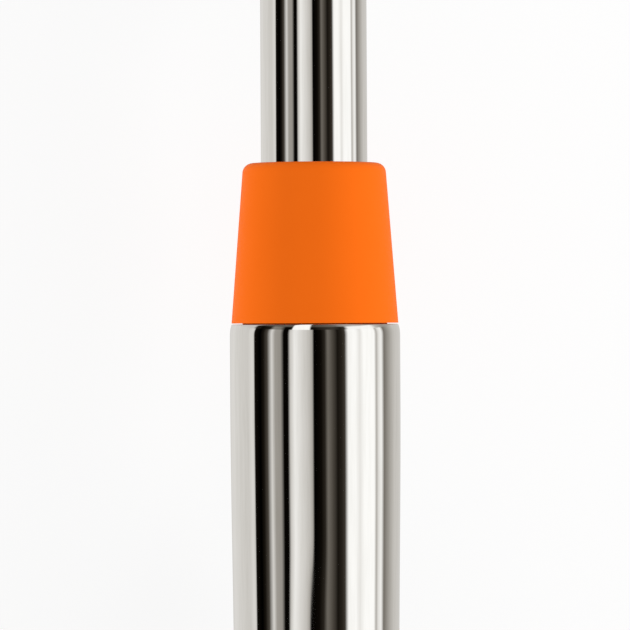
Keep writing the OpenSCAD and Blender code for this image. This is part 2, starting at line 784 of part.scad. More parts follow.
outer_tube();
tube_collar();
collar_screw();
inner_tube();
rear_guide_bush();
bush_pin();
lock_bracket();
lock_lever();
lever_grip();
lever_pivot_pin();
lever_spring();
bumper_socket();
socket_set_screws();
bumper_plate();
flange_bolts();
tee_nuts();
plate_screws();
pad_board();
pad_foam();
pad_cover();
head_housing();
neck_roll_pins();
nap_blades();
blade_spacers();
blade_tie_rods();
tie_rod_nuts();
depth_dial();
dial_screw();
dial_cam();
detent_ball();
detent_spring();
pin_carriage();
gripper_pins();
pin_cap_plate();
cap_plate_screws();
guide_screws();
return_spring(post_x[1]);  // return_spring_front
return_spring(post_x[0]);  // return_spring_rear
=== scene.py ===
"""Looks for the carpet knee kicker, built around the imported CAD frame."""

import json
import math

import bmesh
import bpy
import numpy as np
from mathutils import Matrix, Vector
from mathutils.bvhtree import BVHTree


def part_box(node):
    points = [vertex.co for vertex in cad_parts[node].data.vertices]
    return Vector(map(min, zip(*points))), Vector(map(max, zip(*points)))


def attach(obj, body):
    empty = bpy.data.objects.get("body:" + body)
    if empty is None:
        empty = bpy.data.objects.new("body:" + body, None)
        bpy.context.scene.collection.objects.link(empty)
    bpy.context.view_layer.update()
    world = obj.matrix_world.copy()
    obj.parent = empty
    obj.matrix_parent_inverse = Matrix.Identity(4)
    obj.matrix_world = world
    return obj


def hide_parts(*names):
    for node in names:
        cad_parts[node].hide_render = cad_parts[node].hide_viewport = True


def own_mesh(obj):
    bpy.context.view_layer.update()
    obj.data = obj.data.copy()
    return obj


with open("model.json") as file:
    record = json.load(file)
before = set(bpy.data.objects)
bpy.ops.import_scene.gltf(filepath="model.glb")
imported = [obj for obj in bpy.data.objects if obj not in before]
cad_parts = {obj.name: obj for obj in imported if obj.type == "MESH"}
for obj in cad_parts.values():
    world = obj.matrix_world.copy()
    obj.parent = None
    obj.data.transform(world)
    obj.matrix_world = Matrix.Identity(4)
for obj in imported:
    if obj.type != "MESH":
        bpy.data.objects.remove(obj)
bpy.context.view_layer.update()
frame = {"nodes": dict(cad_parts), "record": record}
NODES = frame["nodes"]
# Sizes below are in millimetres and are scaled by MM where Blender needs metres.
MM = 0.001

# ---- Places, from the CAD ----

# The blades begin 5 mm ahead of the head's own origin, which is on the floor. The rear tube's mouth
# is 117 mm behind that origin and 41 mm up, and the tubes slope down towards the head.
TILT = math.radians(7)
HEAD_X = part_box("nap_blades")[0].x - 5 * MM
MOUTH = Vector((HEAD_X - 117 * MM, 0, 41 * MM))
TUBE = Matrix.Translation(MOUTH) @ Matrix.Rotation(TILT, 4, "Y")
HEAD = Matrix.Translation((HEAD_X, 0, 0))
ALONG = (TUBE.to_3x3() @ Vector((1, 0, 0))).normalized()
ACROSS = Vector((0, 1, 0))
UP = (TUBE.to_3x3() @ Vector((0, 0, 1))).normalized()


def lin(value):
    """An sRGB level from 0 to 255 as linear light."""
    c = value / 255
    return c / 12.92 if c <= 0.04045 else ((c + 0.055) / 1.055) ** 2.4


def rgb(r, g, b):
    return (lin(r), lin(g), lin(b), 1.0)


def grey(value):
    return rgb(value, value, value)


def warm(level):
    """A grey that leans towards brown in the darks."""
    value = lin(level)
    return (value, value ** 1.05, value ** 1.12, 1.0)


# ---- Node helpers ----


class Shader:
    """A short way to build a node tree."""

    def __init__(self, tree):
        self.nodes = tree.nodes
        self.links = tree.links

    def add(self, kind, **settings):
        node = self.nodes.new(kind)
        for key, value in settings.items():
            setattr(node, key, value)
        return node

    def put(self, socket, value):
        if hasattr(value, "is_output"):
            self.links.new(value, socket)
        else:
            socket.default_value = value

    def math(self, operation, *values):
        node = self.add("ShaderNodeMath", operation=operation)
        for socket, value in zip(node.inputs, values):
            self.put(socket, value)
        return node.outputs[0]

    def dot(self, vector, axis):
        node = self.add("ShaderNodeVectorMath", operation="DOT_PRODUCT")
        self.put(node.inputs[0], vector)
        self.put(node.inputs[1], tuple(axis))
        return node.outputs["Value"]

    def mix(self, factor, a, b, blend="MIX"):
        node = self.add("ShaderNodeMix", data_type="RGBA", blend_type=blend)
        self.put(node.inputs[0], factor)
        self.put(node.inputs[6], a)
        self.put(node.inputs[7], b)
        return node.outputs[2]

    def span(self, value, low, high, out_low=0.0, out_high=1.0):
        """Eases from out_low to out_high as value goes from low to high."""
        node = self.add("ShaderNodeMapRange", interpolation_type="SMOOTHSTEP")
        for i, v in enumerate((value, low, high, out_low, out_high)):
            self.put(node.inputs[i], v)
        return node.outputs[0]

    def ramp(self, factor, stops):
        """A straight-line colour ramp through (position, colour) stops."""
        node = self.add("ShaderNodeValToRGB")
        ramp = node.color_ramp
        while len(ramp.elements) > 1:
            ramp.elements.remove(ramp.elements[-1])
        ramp.elements[0].position = stops[0][0]
        ramp.elements[0].color = stops[0][1]
        for position, colour in stops[1:]:
            ramp.elements.new(position).color = colour
        self.put(node.inputs[0], factor)
        return node.outputs[0]


# ---- Studio ----


def make_studio():
    """Soft white light all round, with long dark and light cards for the chrome to reflect."""
    world = bpy.data.worlds.new("studio")
    bpy.context.scene.world = world
    world.use_nodes = True
    world.cycles.sampling_method = "NONE"
    s = Shader(world.node_tree)
    s.nodes.clear()
    direction = s.add("ShaderNodeTexCoord").outputs["Generated"]
    up = s.dot(direction, UP)
    right = s.dot(direction, -ACROSS)
    along = s.dot(direction, ALONG)
    angle = s.math("ARCTAN2", right, up)
    # The cards just left of straight up swing aside where the chrome looks back towards the bumper.
    swing_from, swing_to = 0.062, 0.0785
    swing_most = math.radians(6)
    swing_middle = math.radians(-10)
    swing_width = math.radians(24)
    swing = s.span(s.math("MULTIPLY", along, -1.0), swing_from, swing_to)
    swing = s.math("MULTIPLY", swing, swing)
    middle = s.math("MULTIPLY", s.math("ADD", angle, -swing_middle), 1 / swing_width)
    middle = s.math("EXPONENT", s.math("MULTIPLY", s.math("MULTIPLY", middle, middle), -1.0))
    angle = s.math("ADD", angle, s.math("MULTIPLY", s.math("MULTIPLY", swing, middle), swing_most))
    left_turn = s.math("MULTIPLY_ADD", angle, 1 / math.pi, 1.0)
    right_turn = s.math("MULTIPLY", angle, 1 / math.pi)
    is_right = s.math("GREATER_THAN", angle, 0.0)

    def cards(left, right):
        """Levels by the angle round the tool, from straight up, to the left and to the right."""
        a = s.ramp(left_turn, [(1 + degrees / 180, warm(level)) for degrees, level in left])
        b = s.ramp(right_turn, [(degrees / 180, warm(level)) for degrees, level in right])
        return s.mix(is_right, a, b)

    beside = cards(
        [(-180, 190), (-160, 214), (-146, 216), (-104, 204), (-96, 218), (-92, 210), (-90, 16),
         (-80, 0), (-74, 24), (-68, 70), (-61, 214), (-56, 158), (-48, 150), (-43.5, 6), (-37, 6),
         (-34, 200), (-28, 238), (-18, 216), (-8, 194), (-4, 165), (-2, 2)],
        [(0, 4), (8, 14), (13, 40), (17, 108), (24, 72), (30, 22), (36, 38), (40.5, 60), (45.5, 250),
         (56, 254), (63, 232), (69, 254), (87, 254), (91, 175), (95, 225), (101, 244), (107, 116),
         (122, 170), (135, 196), (180, 206)],
    )
    # Near the tube's mouth the chrome curves over and sees what stands ahead of the tool.
    ahead = cards(
        [(-180, 205), (-96, 200), (-91, 40), (-80, 12), (-66, 30), (-60, 130), (-50, 120), (-43, 8),
         (-33, 8), (-31, 254), (-8, 254), (-6, 20)],
        [(0, 20), (24, 60), (36, 30), (42, 60), (48, 250), (87, 250), (95, 190), (110, 150),
         (180, 200)],
    )
    far_ahead = cards(
        [(-180, 205), (-96, 180), (-91, 60), (-60, 95), (-33, 90), (-31, 254), (-8, 254), (-5, 70)],
        [(0, 75), (30, 105), (60, 190), (90, 150), (110, 150), (180, 200)],
    )
    brighter = (1.1, 1.1, 1.1, 1.0)
    cards_colour = s.mix(s.span(along, 0.27, 0.33), beside, ahead)
    cards_colour = s.mix(s.span(along, 0.47, 0.55), cards_colour, far_ahead)
    cards_colour = s.mix(1.0, cards_colour, brighter, "MULTIPLY")
    path = s.add("ShaderNodeLightPath").outputs
    # Plain surfaces get even light, a little weaker from overhead.
    off_top = s.math("ABSOLUTE", s.math("ADD", angle, math.radians(12)))
    soft = s.mix(s.span(off_top, 0.0, math.radians(65)), grey(200), grey(226))
    colour = s.mix(path["Is Glossy Ray"], soft, cards_colour)
    colour = s.mix(path["Is Camera Ray"], colour, rgb(252, 252, 252))
    background = s.add("ShaderNodeBackground")
    s.put(background.inputs["Color"], colour)
    background.inputs["Strength"].default_value = 1.0
    s.links.new(background.outputs[0], s.add("ShaderNodeOutputWorld").inputs[0])


def soft_light(name, place, target, size, watts):
    """A rectangular lamp that chrome doesn't reflect."""
    data = bpy.data.lights.new(name, "AREA")
    data.shape = "RECTANGLE"
    data.size, data.size_y = size
    data.energy = watts
    lamp = bpy.data.objects.new(name, data)
    bpy.context.scene.collection.objects.link(lamp)
    lamp.location = place
    lamp.rotation_euler = (Vector(place) - Vector(target)).to_track_quat("Z", "Y").to_euler()
    lamp.visible_glossy = False


def make_floor():
    """A white floor that glows a little more to the camera than to the tool."""
    mesh = bpy.data.meshes.new("floor")
    half = 12.0
    corners = [(-half, -half, 0), (half, -half, 0), (half, half, 0), (-half, half, 0)]
    mesh.from_pydata(corners, [], [(0, 1, 2, 3)])
    floor = bpy.data.objects.new("floor", mesh)
    bpy.context.scene.collection.objects.link(floor)
    floor.location.z = -0.0002
    material = bpy.data.materials.new("studio_floor")
    material.use_nodes = True
    bsdf = material.node_tree.nodes["Principled BSDF"]
    bsdf.inputs["Base Color"].default_value = grey(110)
    bsdf.inputs["Roughness"].default_value = 0.9
    bsdf.inputs["Specular IOR Level"].default_value = 0.0
    s = Shader(material.node_tree)
    seen = s.add("ShaderNodeLightPath").outputs["Is Camera Ray"]
    bsdf.inputs["Emission Color"].default_value = (1, 1, 1, 1)
    glow_unseen, glow_seen = 0.66, 0.855
    s.put(bsdf.inputs["Emission Strength"], s.span(seen, 0, 1, glow_unseen, glow_seen))
    mesh.materials.append(material)
    floor.visible_glossy = False


def make_camera():
    """Square to the tubes from above, with the head towards the top of the picture."""
    distance = 1.3
    width = 0.148
    roll = math.radians(-0.3)
    centre = TUBE @ Vector((1.9 * MM, -0.02 * MM, 0))
    data = bpy.data.cameras.new("camera")
    data.sensor_width = 36
    data.lens = 36 * distance / width
    camera = bpy.data.objects.new("camera", data)
    bpy.context.scene.collection.objects.link(camera)
    turned = Matrix((tuple(-ACROSS), tuple(ALONG), tuple(UP))).transposed().to_4x4()
    stand = Matrix.Translation(centre + UP * distance)
    camera.matrix_world = stand @ turned @ Matrix.Rotation(roll, 4, "Z")
    data.clip_start = 0.05
    data.clip_end = 60
    bpy.context.scene.camera = camera


def make_lamps():
    """A strip lamp on each side of the collar, this many degrees down from straight up."""
    reach = 1.3
    for side, name, degrees, watts in ((-1, "key_right", 66, 7.5), (1, "fill_left", 84, 6.0)):
        turn = math.radians(degrees)
        spot = MOUTH + ACROSS * side * reach * math.sin(turn) + UP * reach * math.cos(turn)
        soft_light(name, spot, MOUTH, (1.0, 0.22), watts)


bpy.context.scene.view_settings.view_transform = "Standard"
make_studio()
make_floor()
make_camera()
make_lamps()

# ---- Mesh helpers ----


def clamped(value):
    """Held between 0 and 1."""
    return min(1.0, max(0.0, value))


def fillet(corners, steps):
    """Rounds a closed outline of (x, y, radius) corners."""
    points = []
    count = len(corners)
    for i, (x, y, radius) in enumerate(corners):
        if radius <= 0:
            points.append((x, y))
            continue
        here = Vector((x, y))
        u = (Vector(corners[i - 1][:2]) - here).normalized()
        v = (Vector(corners[(i + 1) % count][:2]) - here).normalized()
        half = u.angle(v) / 2
        centre = here + (u + v).normalized() * radius / math.sin(half)
        start = here + u * radius / math.tan(half) - centre
        stop = here + v * radius / math.tan(half) - centre
        a = math.atan2(start.y, start.x)
        turn = (math.atan2(stop.y, stop.x) - a + 3 * math.pi) % (2 * math.pi) - math.pi
        for k in range(steps + 1):
            t = a + turn * k / steps
            points.append((centre.x + radius * math.cos(t), centre.y + radius * math.sin(t)))
    return points


def quads(rings, around, closed=True, first=0):
    """Faces between each ring of points and the next, and from the last to the first if closed."""
    faces = []
    for i in range(rings if closed else rings - 1):
        a = first + i * around
        b = first + (i + 1) % rings * around
        for k in range(around):
            m = (k + 1) % around
            faces.append((a + k, a + m, b + m, b + k))
    return faces


def new_object(name, verts, faces, matrix=TUBE, smooth=40.0):
    """A mesh object whose points are millimetres in the given frame."""
    mesh = bpy.data.meshes.new(name)
    mesh.from_pydata([tuple(Vector(v) * MM) for v in verts], [], faces)
    bm = bmesh.new()
    bm.from_mesh(mesh)
    bmesh.ops.remove_doubles(bm, verts=bm.verts, dist=1e-7)
    bmesh.ops.delete(bm, geom=[e for e in bm.edges if e.is_wire], context="EDGES")
    bmesh.ops.recalc_face_normals(bm, faces=bm.faces)
    bm.to_mesh(mesh)
    bm.free()
    obj = bpy.data.objects.new(name, mesh)
    bpy.context.scene.collection.objects.link(obj)
    obj.matrix_world = matrix
    shade(obj, smooth)
    return obj


def shade(obj, degrees):
    obj.data.shade_smooth()
    obj.data.set_sharp_from_angle(angle=math.radians(degrees))


def lathe(name, profile, segments, matrix=TUBE):
    """Turns a closed outline of (x, radius) about the frame's x axis."""
    verts = []
    for x, radius in profile:
        for k in range(segments):
            a = 2 * math.pi * k / segments
            verts.append((x, radius * math.cos(a), radius * math.sin(a)))
    return new_object(name, verts, quads(len(profile), segments), matrix)


def cut(obj, *cutters):
    """Subtracts each cutter from obj and removes it."""
    for cutter in cutters:
        modifier = obj.modifiers.new("cut", "BOOLEAN")
        modifier.operation = "DIFFERENCE"
        modifier.solver = "EXACT"
        modifier.object = cutter
        apply_modifiers(obj)
        bpy.data.objects.remove(cutter)
    clean(obj)


def clean(obj):
    """Merges doubled points and removes faces and edges that have no size."""
    bm = bmesh.new()
    bm.from_mesh(obj.data)
    bmesh.ops.remove_doubles(bm, verts=bm.verts, dist=2e-6)
    bmesh.ops.dissolve_degenerate(bm, edges=bm.edges, dist=2e-6)
    bmesh.ops.delete(bm, geom=[e for e in bm.edges if e.is_wire], context="EDGES")
    bm.to_mesh(obj.data)
    bm.free()


def apply_modifiers(obj):
    """Swaps the mesh for the one its modifiers make."""
    bpy.context.view_layer.update()
    evaluated = obj.evaluated_get(bpy.context.evaluated_depsgraph_get())
    mesh = bpy.data.meshes.new_from_object(evaluated)
    old = obj.data
    obj.modifiers.clear()
    obj.data = mesh
    bpy.data.meshes.remove(old)


def block(name, low, high):
    """A box between two corners, in the tube's frame."""
    (x0, y0, z0), (x1, y1, z1) = low, high
    verts = [(x, y, z) for x in (x0, x1) for y in (y0, y1) for z in (z0, z1)]
    faces = [(0, 1, 3, 2), (4, 6, 7, 5), (0, 4, 5, 1), (2, 3, 7, 6), (0, 2, 6, 4), (1, 5, 7, 3)]
    return new_object(name, verts, faces)


# ---- Materials ----


def material(name, build):
    m = bpy.data.materials.new(name)
    m.use_nodes = True
    s = Shader(m.node_tree)
    bsdf = s.nodes["Principled BSDF"]
    build(s, bsdf)
    return m


def noise(s, scale, detail=3.0, roughness=0.5, stretch=(1, 1, 1)):
    mapping = s.add("ShaderNodeMapping")
    mapping.inputs["Scale"].default_value = stretch
    s.put(mapping.inputs["Vector"], s.add("ShaderNodeTexCoord").outputs["Object"])
    node = s.add("ShaderNodeTexNoise")
    s.put(node.inputs["Vector"], mapping.outputs[0])
    node.inputs["Scale"].default_value = scale
    node.inputs["Detail"].default_value = detail
    node.inputs["Roughness"].default_value = roughness
    return node.outputs["Fac"]


def bump(s, bsdf, height, distance, strength):
    node = s.add("ShaderNodeBump")
    node.inputs["Strength"].default_value = strength
    node.inputs["Distance"].default_value = distance
    s.put(node.inputs["Height"], height)
    s.put(bsdf.inputs["Normal"], node.outputs[0])


def build_chrome(s, bsdf):
    """Polished chrome plate: a faint orange peel and fine polishing marks along the tube."""
    bsdf.inputs["Metallic"].default_value = 1.0
    smear = noise(s, 900, 4, 0.6, (0.06, 1, 1))
    colour = s.mix(s.span(smear, 0.3, 0.8), rgb(244, 243, 240), rgb(236, 235, 231))
    s.put(bsdf.inputs["Base Color"], colour)
    s.put(bsdf.inputs["Roughness"], s.span(smear, 0.3, 0.75, 0.015, 0.045))
    bump(s, bsdf, noise(s, 55, 2, 0.4, (0.25, 1, 1)), 0.00004, 0.35)


def build_cast_chrome(s, bsdf):
    """Chrome plate over a casting: softer reflections, and the faint waves that buffing leaves."""
    bsdf.inputs["Metallic"].default_value = 1.0
    cloud = noise(s, 120, 4, 0.6)
    s.put(bsdf.inputs["Base Color"], s.mix(cloud, rgb(232, 231, 228), rgb(218, 217, 214)))
    s.put(bsdf.inputs["Roughness"], s.span(cloud, 0.3, 0.75, 0.09, 0.2))
    bump(s, bsdf, noise(s, 35, 3, 0.5), 0.00025, 0.35)


def build_orange(s, bsdf):
    """Satin moulded plastic with a fine spark-eroded grain."""
    tone = noise(s, 60, 3, 0.5)
    s.put(bsdf.inputs["Base Color"], s.mix(tone, rgb(250, 110, 18), rgb(253, 113, 21)))
    s.put(bsdf.inputs["Roughness"], s.span(noise(s, 2500, 2, 0.5), 0.3, 0.7, 0.42, 0.55))
    bsdf.inputs["Specular IOR Level"].default_value = 0.04
    bump(s, bsdf, noise(s, 3200, 3, 0.6), 0.00003, 0.5)


def build_steel(tone, rough, grain=1400):
    """Bare metal of a grey level and roughness, with fine scratches."""
    def build(s, bsdf):
        bsdf.inputs["Metallic"].default_value = 1.0
        scratch = noise(s, grain, 3, 0.55, (0.15, 1, 1))
        s.put(bsdf.inputs["Base Color"], s.mix(scratch, grey(tone), grey(tone * 0.88)))
        s.put(bsdf.inputs["Roughness"], s.span(scratch, 0.3, 0.7, rough * 0.8, rough * 1.25))
        bump(s, bsdf, scratch, 0.00002, 0.5)

    return build


def build_paint(s, bsdf):
    """Black powder coat."""
    s.put(bsdf.inputs["Base Color"], s.mix(noise(s, 300, 3), grey(26), grey(34)))
    s.put(bsdf.inputs["Roughness"], s.span(noise(s, 900, 2), 0.3, 0.7, 0.38, 0.52))
    bump(s, bsdf, noise(s, 1600, 2, 0.5), 0.00006, 0.5)


def build_nylon(s, bsdf):
    s.put(bsdf.inputs["Base Color"], s.mix(noise(s, 200, 3), grey(30), grey(38)))
    bsdf.inputs["Roughness"].default_value = 0.45
    bump(s, bsdf, noise(s, 2600, 2, 0.5), 0.00003, 0.5)


def build_wood(s, bsdf):
    grain = noise(s, 240, 5, 0.6, (1, 0.12, 1))
    s.put(bsdf.inputs["Base Color"], s.mix(grain, rgb(176, 140, 98), rgb(206, 172, 128)))
    bsdf.inputs["Roughness"].default_value = 0.75
    bump(s, bsdf, grain, 0.0001, 0.4)


def build_vinyl(s, bsdf):
    """Black upholstery vinyl with a pebbled grain."""
    where = s.add("ShaderNodeTexCoord").outputs["Object"]
    cells = s.add("ShaderNodeTexVoronoi", feature="SMOOTH_F1")
    cells.inputs["Scale"].default_value = 900
    s.put(cells.inputs["Vector"], where)
    s.put(bsdf.inputs["Base Color"], s.mix(noise(s, 90, 4), grey(24), grey(33)))
    s.put(bsdf.inputs["Roughness"], s.span(cells.outputs["Distance"], 0.1, 0.7, 0.5, 0.36))
    bsdf.inputs["Specular IOR Level"].default_value = 0.45
    height = s.math("ADD", s.math("MULTIPLY", cells.outputs["Distance"], -1.0), noise(s, 400, 3))
    bump(s, bsdf, height, 0.00025, 0.5)


def build_ink(s, bsdf):
    s.put(bsdf.inputs["Base Color"], s.mix(noise(s, 700, 3), grey(236), grey(246)))
    bsdf.inputs["Roughness"].default_value = 0.5


CHROME = material("chrome", build_chrome)
CAST_CHROME = material("cast_chrome", build_cast_chrome)
ORANGE = material("orange_plastic", build_orange)
ZINC = material("zinc_steel", build_steel(205, 0.28))
BRIGHT = material("spring_wire", build_steel(190, 0.2))
BLACK_STEEL = material("black_steel", build_steel(52, 0.35))
HARD_STEEL = material("hard_steel", build_steel(135, 0.3))
LEVER_STEEL = material("lever_steel", build_steel(182, 0.3))
ALLOY = material("cast_alloy", build_steel(196, 0.38, 700))
CARRIAGE_ALLOY = material("machined_alloy", build_steel(176, 0.32))
PAINT = material("black_paint", build_paint)
NYLON = material("black_nylon", build_nylon)
WOOD = material("plywood", build_wood)
VINYL = material("black_vinyl", build_vinyl)
INK = material("white_ink", build_ink)

SLOT_MATERIAL = {
    "chrome_tube": CHROME, "chrome_cast": CAST_CHROME,
    "orange_plastic": ORANGE, "orange_knob": ORANGE,
    "screw_steel": ZINC, "black_screw": BLACK_STEEL, "spring_steel": BRIGHT,
    "lever_steel": LEVER_STEEL, "cap_steel": ZINC, "hard_steel": HARD_STEEL,
    "socket_alloy": ALLOY, "carriage_alloy": CARRIAGE_ALLOY,
    "black_nylon": NYLON, "black_paint": PAINT,
    "plywood": WOOD, "black_vinyl": VINYL, "foam": NYLON,
}


def dress(obj, what):
    """Gives an object one material."""
    obj.data.materials.clear()
    obj.data.materials.append(what)


def place(obj, body, slot, *nodes):
    """Rides on a body, takes a slot's finish and stands for CAD nodes."""
    dress(obj, SLOT_MATERIAL[slot])
    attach(obj, body)
    if nodes:
        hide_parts(*nodes)


for part in frame["record"]["subparts"]:
    node = NODES[part["node"]]
    dress(node, SLOT_MATERIAL[part["material_slot"]])

# ---- Tubes and collar ----

REAR = "tube_and_bumper"
FRONT = "head_assembly"
MOUTH_R = 20.0
BORE_R = 18.0


def outer_radius(x):
    """The rear tube eases in by 0.64 mm over the 80 mm behind its mouth's straight part."""
    t = clamped((-15 - x) / 80)
    return MOUTH_R - 0.32 * (1 - math.cos(math.pi * t))


def make_outer_tube():
    """The rear tube, its lip curved over to a thin gap under the collar, with the lock's window."""
    outside = [(-176, 19.1), (-175.7, 19.4)]
    outside += [(x, outer_radius(x)) for x in np.linspace(-170, -97, 8)]
    outside += [(x, outer_radius(x)) for x in np.linspace(-95, -15, 34)]
    outside += [(x, MOUTH_R) for x in (-12, -9, -7, -5, -4)]
    lip = [(-3.4 + 3.05 * t, MOUTH_R - 0.42 * t ** 3) for t in np.linspace(0, 1, 24)]
    lip += [(-0.29, 19.52), (-0.26, 19.42), (-0.26, 18.3), (-0.6, BORE_R)]
    tube = lathe("rear_tube", outside + lip + [(-60, BORE_R), (-176, BORE_R)], 256)
    cut(tube, block("window", (-59.5, -4.5, -22), (-44.5, 4.5, -14)))
    shade(tube, 40)
    place(tube, REAR, "chrome_tube", "outer_tube")


def make_inner_tube():
    """The front tube, with the four stops the lock drops into."""
    profile = fillet([(-164, 12.5, 0.3), (122, 12.5, 0.3), (122, 11, 0.3), (-164, 11, 0.3)], 3)
    tube = lathe("front_tube", profile, 192)
    first_stop, pitch, half = -52, 28, 4.3
    for i in range(4):
        x = first_stop - pitch * i
        cut(tube, block("stop", (x - half, -half, -14), (x + half, half, -9)))
    shade(tube, 40)
    place(tube, FRONT, "chrome_tube", "inner_tube")


def make_collar():
    """The tapered collar and the plug it has in the rear tube, with a relief groove behind the base."""
    profile = fillet([
        (37.6, 16.7, 2.4), (0, 19.6, 0.1), (0, 17, 0.05), (-1, 17, 0.05), (-1, 17.95, 0.05),
        (-24, 17.95, 0.8), (-24, 12.65, 0.4), (37.6, 12.65, 0.9),
    ], 12)
    collar = lathe("collar", profile, 192)
    place(collar, REAR, "orange_plastic", "tube_collar")


make_outer_tube()
make_inner_tube()
make_collar()

# ---- CAD solids made finer ----


def copy_of(name, node):
    """A new object with a CAD node's mesh, its doubled points merged."""
    bm = bmesh.new()
    bm.from_mesh(NODES[node].data)
    bmesh.ops.remove_doubles(bm, verts=bm.verts, dist=1e-6)
    mesh = bpy.data.meshes.new(name)
    bm.to_mesh(mesh)
    bm.free()
    obj = bpy.data.objects.new(name, mesh)
    bpy.context.scene.collection.objects.link(obj)
    return obj


def join(obj, *others):
    """Adds the other objects' meshes to obj, as loose parts of it, and removes them."""
    bm = bmesh.new()
    bm.from_mesh(obj.data)
    bpy.context.view_layer.update()
    for other in others:
        mesh = other.data.copy()
        mesh.transform(obj.matrix_world.inverted() @ other.matrix_world)
        bm.from_mesh(mesh)
        bpy.data.meshes.remove(mesh)
        bpy.data.objects.remove(other)
    bm.to_mesh(obj.data)
    bm.free()
    return obj


def melt(obj, voxel, rounds, keep):
    """Melts an object's solids into one, with soft edges and inside corners like a casting's."""
    remesh = obj.modifiers.new("remesh", "REMESH")
    remesh.mode = "VOXEL"
    remesh.voxel_size = voxel * MM
    smooth = obj.modifiers.new("smooth", "SMOOTH")
    smooth.factor = 0.5
    smooth.iterations = rounds
    fewer = obj.modifiers.new("fewer", "DECIMATE")
    fewer.ratio = keep
    apply_modifiers(obj)
    obj.data.shade_smooth()


def soften(node, width):
    """Breaks the sharp edges of a CAD node with modifiers, its mesh left as it is."""
    obj = NODES[node]
    weld = obj.modifiers.new("weld", "WELD")
    weld.merge_threshold = 1e-6
    flat = obj.modifiers.new("flat", "DECIMATE")
    flat.decimate_type = "DISSOLVE"
    flat.angle_limit = math.radians(0.6)
    bevel = obj.modifiers.new("bevel", "BEVEL")
    bevel.width = width * MM
    bevel.segments = 2
    bevel.limit_method = "ANGLE"
    bevel.angle_limit = math.radians(30)
    obj.modifiers.new("normals", "WEIGHTED_NORMAL")
    obj.data.shade_smooth()


# ---- Head ----

DIAL_X = 38


def make_housing():
    """The cast housing, with a raised pointer beside the dial."""
    housing = copy_of("housing", "head_housing")
    low, high = 37, 38.8
    tip, foot, half = -19.2, -24.6, 2.4
    corners = [(DIAL_X, tip), (DIAL_X - half, foot), (DIAL_X + half, foot)]
    verts = [(x, y, z) for z in (low, high) for x, y in corners]
    faces = [(0, 1, 2), (3, 5, 4), (0, 3, 4, 1), (1, 4, 5, 2), (2, 5, 3, 0)]
    join(housing, new_object("pointer", verts, faces, HEAD))
    melt(housing, 0.42, 6, 0.3)
    place(housing, FRONT, "chrome_cast", "head_housing")


def wavy(name, profile, edge, segments, matrix):
    """Turns a closed outline of (radius, z) about Z. The rim is drawn in by edge(angle)."""
    verts = []
    for radius, z in profile:
        # The rim's share of the wave fades out between radius 16 and 14.
        share = clamped((radius - 14.0) / 2.0)
        for k in range(segments):
            a = 2 * math.pi * k / segments
            r = radius - edge(a) * share
            verts.append((r * math.cos(a), r * math.sin(a), z))
    return new_object(name, verts, quads(len(profile), segments), matrix, 50)


def numeral(text, size, depth):
    """A number as a flat raised mesh, centred on the origin and read from above."""
    data = bpy.data.curves.new("numeral", "FONT")
    data.body = text
    data.size = size * MM
    data.extrude = depth * MM
    data.align_x = "CENTER"
    data.align_y = "CENTER"
    obj = bpy.data.objects.new("numeral", data)
    bpy.context.scene.collection.objects.link(obj)
    bpy.context.view_layer.update()
    mesh = bpy.data.meshes.new_from_object(obj.evaluated_get(bpy.context.evaluated_depsgraph_get()))
    bpy.data.objects.remove(obj)
    result = bpy.data.objects.new("numeral", mesh)
    bpy.context.scene.collection.objects.link(result)
    return result


def make_dial():
    """The depth dial: a scalloped rim, a sunk ring numbered 1 to 6, and a hub sunk for its screw."""
    radius, low, high = 17.5, 39.9, 50.3
    sunk = 0.7
    grips = 18

    def scallop(angle):
        """How deep the grip hollows cut at this angle, with soft ridges between them."""
        ring, hollow_r, sharp = 18.8, 2.6, 5.0
        off = (angle * grips / (2 * math.pi)) % 1.0 - 0.5
        reach = off * 2 * math.pi / grips * ring
        hollow = ring - math.sqrt(max(0.0, hollow_r ** 2 - reach ** 2))
        return radius + math.log(math.exp(-sharp * radius) + math.exp(-sharp * hollow)) / sharp

    rim = fillet([
        (2.1, low, 0), (radius, low, 0.5), (radius, high, 1.6), (14.6, high, 0.5),
        (13.9, high - sunk, 0.5), (8.2, high - sunk, 0.5), (7.4, high, 0.5), (4.6, high, 0.4),
        (4.6, high - 3.4, 0.3), (2.1, high - 3.4, 0),
    ], 6)
    axis = HEAD @ Matrix.Translation((DIAL_X * MM, 0, 0))
    dial = wavy("dial", rim, scallop, grips * 20, axis)
    numbers = []
    ring_r, ring_z = 11.1, high - 0.66
    upright = Matrix.Rotation(math.radians(-90), 4, "Z")
    for i in range(6):
        turn = Matrix.Rotation(math.radians(-90 - 60 * i), 4, "Z")
        number = numeral(str(i + 1), 5.2, 0.12)
        spot = Matrix.Translation((DIAL_X * MM, 0, ring_z * MM)) @ turn
        number.matrix_world = HEAD @ spot @ Matrix.Translation((ring_r * MM, 0, 0)) @ upright
        numbers.append(number)
    first = len(dial.data.polygons)
    join(dial, *numbers)
    place(dial, "depth_dial", "orange_knob", "depth_dial")
    dial.data.materials.append(INK)
    for polygon in dial.data.polygons[first:]:
        polygon.material_index = 1
        polygon.use_smooth = False


